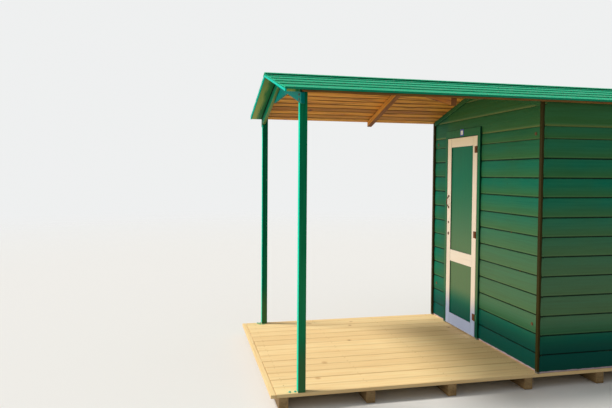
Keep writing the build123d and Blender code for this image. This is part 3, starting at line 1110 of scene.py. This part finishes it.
def wall_frame(name, way, run, between, plane, side, high):
    """Studs at a run's ends and at the places between, rails under and over them."""
    near, far = sorted((plane + side * SKIN, plane + side * wall_in))
    low_rail, high_rail = deck_top + STUD, high - STUD
    studs = [run[0] + STUD / 2, *between, run[1] - STUD / 2]
    bars = [(s - STUD / 2, s + STUD / 2, low_rail, high_rail, Z, X) for s in studs]
    bars += [(*run, deck_top, low_rail, way, Z), (*run, high_rail, high, way, Z)]
    boards = []
    for a, b, low, top, along, across in bars:
        ends = ((a, near, low), (b, far, top)) if way == X else ((near, a, low), (far, b, top))
        boards.append(block(name, *ends, 0.002, 1))
        give_grain(boards[-1], along, across)
    fit(joined(name, boards), "hut", "bare_planks", frame_wood)


inside = half - wall_in
wall_frame("front_frame", X, (rough_high.x, inside), FRONT_STUDS, wall_y, 1, siding_top)
wall_frame("front_frame_left", X, (-inside, rough_low.x), [], wall_y, 1, siding_top)
wall_frame("back_frame", X, (-inside, inside), BACK_STUDS, back_y, -1, siding_top)
start, end = wall_y + wall_in, back_y - wall_in
thirds = [(start * 2 + end) / 3, (start + end * 2) / 3]
wall_frame("left_frame", Y, (start, end), thirds, -half, 1, under(half))
wall_frame("right_frame", Y, (start, end), thirds, half, -1, under(half))

# %% [markdown]
# ## Roof
# The ceiling is the roof's own boarding, seen from below. Ahead of the barge boards
# a painted board runs down each slope instead, across the planks' ends. On top lie
# five wide courses on each slope, every one lapped over the next, so each is thicker
# at its lower edge.

# %% Lay the ceiling planks
PLANKS = 11
PLANK_GAP = 0.003
CEILING = 0.018
reach = ceiling_high.x / math.cos(tilt)
plank_width = reach / PLANKS
planks_y = barge_y + 0.006


def on_slope(side, along_slope, lift, y=0.0, lean=0.0):
    """Place on a slope: distance from the ridge down the slope, height over the ceiling."""
    x = side * (along_slope * math.cos(tilt) + lift * math.sin(tilt))
    z = ridge - along_slope * math.sin(tilt) + lift * math.cos(tilt)
    return moved(x, y, z, side * (tilt + lean), "Y")


for side, label in sides:
    node = "roof_boards_" + label
    low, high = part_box(node)
    eaves = ((side * ceiling_high.x, 0, 0), (side, 0, 0))
    wide = plank_width / 2 - PLANK_GAP / 2
    plank = block("plank", (-wide, planks_y, 0), (wide, high.y, CEILING), 0.006, 1)
    places = [
        on_slope(side, (i + 0.5) * plank_width, luck.uniform(0, 0.0008)) for i in range(PLANKS)
    ]
    ceiling = laid("ceiling_" + label, plank, places, Y, slope_x[side])
    sawn(ceiling, *eaves)
    fit(ceiling, "hut", "bare_planks", ceiling_wood, stands_for=[node])
    board_high = (reach / 2, planks_y - 0.002, CEILING)
    board = block("soffit_board", (-reach / 2, low.y, 0), board_high, 0.003, 1)
    soffit = laid("soffit_" + label, board, [on_slope(side, reach / 2, 0)], slope_x[side], Y)
    sawn(soffit, (0, 0, 0), (-side, 0, 0))
    sawn(soffit, *eaves)
    fit(soffit, "hut", "green_paint", eaves_paint)

# %% Lay and nail the roof courses
LAPS = [0.0, 0.187, 0.395, 0.614, 0.822, cover_edge / math.cos(tilt)]
LAP = 0.03
COURSE = 0.008
NAILS = 17
NAIL_PITCH = 0.25
NAIL_FROM_END = 0.07
NAIL_FROM_LAP = 0.022
NAIL_LIFT = CEILING + COURSE * 1.86
nail_points = {-1: [], 1: []}
for side, label in sides:
    courses = []
    low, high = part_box("roof_cover_" + label)
    for upper, lower in zip(LAPS, LAPS[1:]):
        start = max(0.0, upper - LAP)
        long = lower - start
        course = block("course", (-long / 2, low.y, 0), (long / 2, high.y, COURSE), 0.003, 2)
        lean = -math.atan(COURSE * 0.9 / long)
        place = on_slope(side, start + long / 2, CEILING + COURSE * 0.45, lean=lean)
        courses.append(laid("course", course, [place], Y, slope_x[side]))
        for k in range(NAILS):
            y = low.y + NAIL_FROM_END + k * NAIL_PITCH + wobble(0.01)
            nail = on_slope(side, lower - NAIL_FROM_LAP, NAIL_LIFT, y)
            nail_points[side].append(nail.translation)
    batten = block("batten", (-0.02, low.y, 0), (0.016, high.y, COURSE * 0.9), 0.001, 1)
    batten_at = on_slope(side, LAPS[-1] - 0.02, CEILING)
    courses.append(laid("batten", batten, [batten_at], Y, slope_x[side]))
    covering = joined("roof_courses_" + label, courses)
    sawn(covering, (side * (cover_edge - 0.0002), 0, 0), (side, 0, 0))
    fit(covering, "hut", "roof_green", roof_paint, stands_for=["roof_cover_" + label])
for side, label in sides:
    points = nail_points[side]
    heads("roof_nails_" + label, points, slope_z[side], 0.0045, zinc, "roof_green", slot=False)

milled("ridge_cap", "ridge_capping", Y, X, "roof_green", roof_paint, 0.0025)
for end in ("front", "back"):
    milled(end + "_verge", end + "_verge_board", X, Z, "green_paint", verge_sunlit_paint, 0.002)

# %% [markdown]
# ## Porch timbers
# Square posts carry the barge boards, and a plate behind the barge boards' joint
# ties them. These shapes are right in the solids, so each is a copy with its
# corners planed, as a timber comes from the mill. The posts' front faces get a
# brighter green as painted sunlight, and the barge boards' undersides an olive as
# painted bounce light from the deck. The right barge board and the apex plate get a
# bluer green, a painted reflection of the sky.

# %% Set up posts, barge boards, beam and rafters


def faces_front(middle, way):
    return way.y < -0.8


for side, label in sides:
    grain = (slope_x[side], slope_z[side])
    post = milled("post_" + label, "porch_post_" + label, Z, X, "green_paint", post_paint, 0.004, 3)
    # Front faces: painted sunlight.
    recoat(post, sunlit_paint, faces_front)
    # The right barge board gets a painted sky reflection, the left one its plain green.
    paint = sky_sheen_paint if side > 0 else barge_paint
    barge = milled("barge_board_" + label, "barge_" + label, *grain, "green_paint", paint)
    # Undersides: painted bounce light from the deck.
    recoat(barge, underside_bounce_paint, lambda middle, way: way.z < -0.8)
    rafter = milled("porch_rafter_" + label, "rafter_" + label, *grain, "bare_planks", rafter_wood)
    recoat(rafter, ceiling_wood, faces_front)
# The apex plate carries the painted sky reflection too.
milled("apex_plate", "apex_board", X, Z, "green_paint", sky_sheen_paint, 0.002)
milled("ridge_beam", "ridge_purlin", Y, X, "bare_planks", beam_wood)

# %% [markdown]
# ## Trim
# Narrow strips close the corners, follow the ceiling's slope on the wall, and frame
# the doorway. They hide the boards' sawn ends.

# %% Fix the trim
milled("corner_strips", "corner_boards", Z, X, "green_paint", corner_paint)
milled("gable_trims", "sloping_trims", X, Z, "green_paint", trim_paint)
milled("door_frame", "doorway_lining", Z, X, "green_paint", trim_paint, 0.002)
architrave = milled("architrave", "doorway_architrave", Z, X, "green_paint", trim_paint, 0.004, 3)
# Faces other than the front: painted shade beside the architrave.
recoat(architrave, bead_and_shade_paint, lambda middle, way: way.y > -0.8)
milled("door_sill", "doorway_sill", X, Y, "deck_wood", deck_wood, 0.002)

# %% [markdown]
# ## Door
# The leaf is a frame of stiles and rails in cream paint, and two plain green panels
# sit in its grooves. The painter took the panels' green up the frame's inner edges,
# so those faces get a green of their own, darker as painted shade in the recess.

# %% Make the door
OUTER_EDGE = 0.02
leaf_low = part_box("door_stile_lock")[0].x, 0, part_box("door_rail_bottom")[0].z
leaf_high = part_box("door_stile_hinge")[1].x, 0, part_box("door_rail_top")[1].z


def inner_edge(axis):
    """Tests for faces that look along an axis and aren't on the leaf's outside."""
    low, high = leaf_low[axis] + OUTER_EDGE, leaf_high[axis] - OUTER_EDGE
    return lambda middle, way: abs(way[axis]) > 0.8 and low < middle[axis] < high


for part in ("stile_lock", "stile_hinge", "rail_top", "rail_middle", "rail_bottom"):
    along, across, axis = (Z, X, 0) if part.startswith("stile") else (X, Z, 2)
    bar = milled("door_" + part, "leaf_" + part, along, across, "white_paint", cream_paint, body="door")
    # Inner edges: the panels' green, darkened as painted shade.
    recoat(bar, bead_and_shade_paint, inner_edge(axis))
for part in ("panel_upper", "panel_lower"):
    milled("door_" + part, "leaf_" + part, Z, X, "green_paint", panel_paint, 0.001, 1, "door")

# %% [markdown]
# ## Door furniture
# The hinges are plain steel. Their door flaps have gone rusty, while the others were
# painted with the frame. Each flap is held by three screws. The pull is a bow of iron
# gone brown, made by spinning a round section, with a foot at each end.

# %% Hang the hinges
HINGE_HALF = 0.033
MIDDLE_HINGE = 1.1355
SCREW_RISE = 0.021
for node, steel in (("hinge_leaves_frame", frame_steel), ("hinge_leaves_door", rusty)):
    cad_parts[node].data.materials.clear()
    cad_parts[node].data.materials.append(steel)
hinge_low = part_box("hinge_leaves_door")[0]
frame_low, frame_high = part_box("hinge_leaves_frame")
leaf_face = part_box("door_stile_hinge")[0].y
flap_face = leaf_face - 0.0025
centres = [frame_low.z + HINGE_HALF, MIDDLE_HINGE, frame_high.z - HINGE_HALF]
door_screws = ((0.012, -SCREW_RISE), (0.024, 0), (0.012, SCREW_RISE))
on_door = [(hinge_low.x + dx, flap_face, z + dz) for z in centres for dx, dz in door_screws]
on_frame = [
    (frame_high.x - 0.008, flap_face, z + dz) for z in centres for dz in (-SCREW_RISE, 0, SCREW_RISE)
]
heads("hinge_screws_door", on_door, TO_FRONT, 0.0035, rusty, "rusty_steel", "door")
heads("hinge_screws_frame", on_frame, TO_FRONT, 0.0035, frame_steel, "rusty_steel")

# %% Spin the bow of the pull
FOOT = 0.013
FOOT_THICK = 0.004
IRON_RADIUS = 0.005
pull_low, pull_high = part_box("door_pull")
pull_x = (pull_low.x + pull_high.x) / 2
foot_low, foot_high = pull_low.z + FOOT, pull_high.z - FOOT
bow_out = pull_high.y - pull_low.y - IRON_RADIUS
span = foot_high - foot_low
radius = (span * span / 4 + bow_out * bow_out) / (2 * bow_out)
centre = Vector((pull_x, leaf_face - bow_out + radius, (foot_low + foot_high) / 2))
sweep = 2 * math.asin(span / 2 / radius)
bow_start = (pull_x, centre.y - radius * math.cos(sweep / 2), foot_low)
bpy.ops.mesh.primitive_circle_add(
    vertices=14, radius=IRON_RADIUS, location=bow_start, rotation=(sweep / 2, 0, 0)
)
pull = settled()
pull.name = "bow_pull"
edit(pull)
bpy.ops.mesh.spin(steps=18, angle=sweep, center=centre, axis=X)
done()
print("pull sweep", math.degrees(sweep), "front", min(v.co.y for v in pull.data.vertices))

# %% Feet of the pull, keyhole and lock
feet = []
for z in (foot_low, foot_high):
    foot = disc(20, FOOT - 0.0005, FOOT_THICK, (pull_x, leaf_face - FOOT_THICK / 2, z))
    plane_corners(foot, 0.0012, 2, 60)
    feet.append(foot)
edit(pull)
bpy.ops.mesh.remove_doubles(threshold=0.0001)
bpy.ops.mesh.normals_make_consistent(inside=False)
done()
pull = joined("bow_pull", [pull] + feet)
give_grain(pull, Z, X)
smoothed(pull, 40)
fit(pull, "door", "dark_iron", iron, stands_for=["door_pull"])

KEY_PLATE = 0.013
LOCK_PLATE = 0.017
PLATE_THICK = 0.003
lock_low, lock_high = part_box("lock_plates")
plates = []
for z, radius, slot_x, slot_z in (
    (lock_high.z - KEY_PLATE, KEY_PLATE - 0.0005, 0.0016, 0.006),
    (lock_low.z + LOCK_PLATE, LOCK_PLATE - 0.0005, 0.0024, 0.0075),
):
    plate = disc(28, radius, PLATE_THICK, (pull_x, leaf_face - PLATE_THICK / 2, z))
    plane_corners(plate, 0.001, 2, 60)
    slot_low = (pull_x - slot_x, leaf_face - 0.0036, z - slot_z)
    slot_high = (pull_x + slot_x, leaf_face - 0.002, z + slot_z)
    plates += [plate, block("key_slot", slot_low, slot_high, 0.0006, 1)]
locks = joined("lock_rosettes", plates)
give_grain(locks, Z, X)
fit(locks, "door", "dark_iron", iron, stands_for=["lock_plates"])

# %% [markdown]
# ## Number plate and bolts
# A small enamel plate hangs over the door: a blue rim, a white field and a plain
# number. Four bolts near the wall's corners hold the hut to its frame, smaller ones
# hold the barge boards, and two round painted heads stand ahead of each post's foot.

# %% Number plate
RIM = 0.012
plate_low, plate_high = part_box("number_plate")
plate_x, plate_z = (plate_low.x + plate_high.x) / 2, (plate_low.z + plate_high.z) / 2
plate = block("house_number", plate_low, plate_high, 0.0006, 1)
choose(plate, "FACE", lambda middle, way: way.y < -0.99)
bpy.ops.mesh.inset(thickness=RIM, depth=0)
bpy.ops.mesh.inset(thickness=0.0008, depth=0)
done()
give_grain(plate, X, Z)
fit(plate, "hut", "enamel", blue_enamel, stands_for=["number_plate"])


def in_field(middle, way):
    """The face in the middle of the plate's front."""
    return way.y < -0.99 and abs(middle.x - plate_x) < 0.002 and abs(middle.z - plate_z) < 0.002


recoat(plate, white_enamel, in_field)

number_at = (plate_x, plate_low.y + 0.0006, plate_z)
bpy.ops.object.text_add(location=number_at, rotation=(math.pi / 2, 0, 0))
number = bpy.context.object
number.name = "plate_digits"
number.data.body = "24"
number.data.size = 0.024
number.data.align_x = number.data.align_y = "CENTER"
number.data.extrude = 0.0003
bpy.ops.object.convert(target="MESH")
number = settled()
give_grain(number, X, Z)
fit(number, "hut", "enamel", blue_enamel)

# %% Bolts in the wall and the barge boards
CAP_RADIUS = 0.015
WASHER = 0.0025
NUT = 0.0034
cap_low, cap_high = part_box("wall_bolt_caps")
washer = disc(24, CAP_RADIUS - 0.0002, WASHER, (0, 0, WASHER / 2), facing_front=False)
plane_corners(washer, 0.0008, 1, 60)
nut = disc(6, 0.0085, NUT, (0, 0, WASHER + NUT / 2), facing_front=False)
plane_corners(nut, 0.0008, 2, 45)
bolt = joined("bolt", [washer, nut])
places = [
    facing((x, wall_y, z), TO_FRONT, 1)
    for x in (cap_low.x + CAP_RADIUS, cap_high.x - CAP_RADIUS)
    for z in (cap_low.z + CAP_RADIUS, cap_high.z - CAP_RADIUS)
]
bolts = laid("wall_bolts", bolt, places, X, Z, keep=True)
fit(bolts, "hut", "rusty_steel", bolt_iron, stands_for=["wall_bolt_caps"])

BOLT_INSET = 0.028
BOLT_DROPS = (0.028, 0.062)
BOLT_SHARE = 0.75
bolt_x = half - BOLT_INSET
smaller = Matrix.Diagonal((*[BOLT_SHARE] * 3, 1))
places = [
    facing((side * bolt_x, barge_y, under(bolt_x) - drop), TO_FRONT, 0) @ smaller
    for side in (-1, 1) for drop in BOLT_DROPS
]
fit(laid("barge_bolts", bolt, places, X, Z), "hut", "rusty_steel", rusty)

# %% Round bolts at the posts' feet
BOLTS_AHEAD = ((-1, (0.013, 0.040)), (1, (0.015, 0.056)))
DOME_RADIUS = 0.0105
foot_x = (post_low.x + post_high.x) / 2
bpy.ops.mesh.primitive_uv_sphere_add(segments=20, ring_count=12, radius=DOME_RADIUS)
dome = bpy.context.object
sawn(dome, (0, 0, 0), (0, 0, -1))
places = [
    moved(side * foot_x, post_low.y - ahead_of, deck_top - SINK)
    for side, spots in BOLTS_AHEAD for ahead_of in spots
]
foot_bolts = laid("post_foot_bolts", dome, places, X, Z)
smoothed(foot_bolts, 40)
# The bolt heads get the posts' painted sunlight.
fit(foot_bolts, "hut", "green_paint", sunlit_paint)

# %% Measure the dressed size
low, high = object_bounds()
print("dressed", tuple(low), tuple(high))
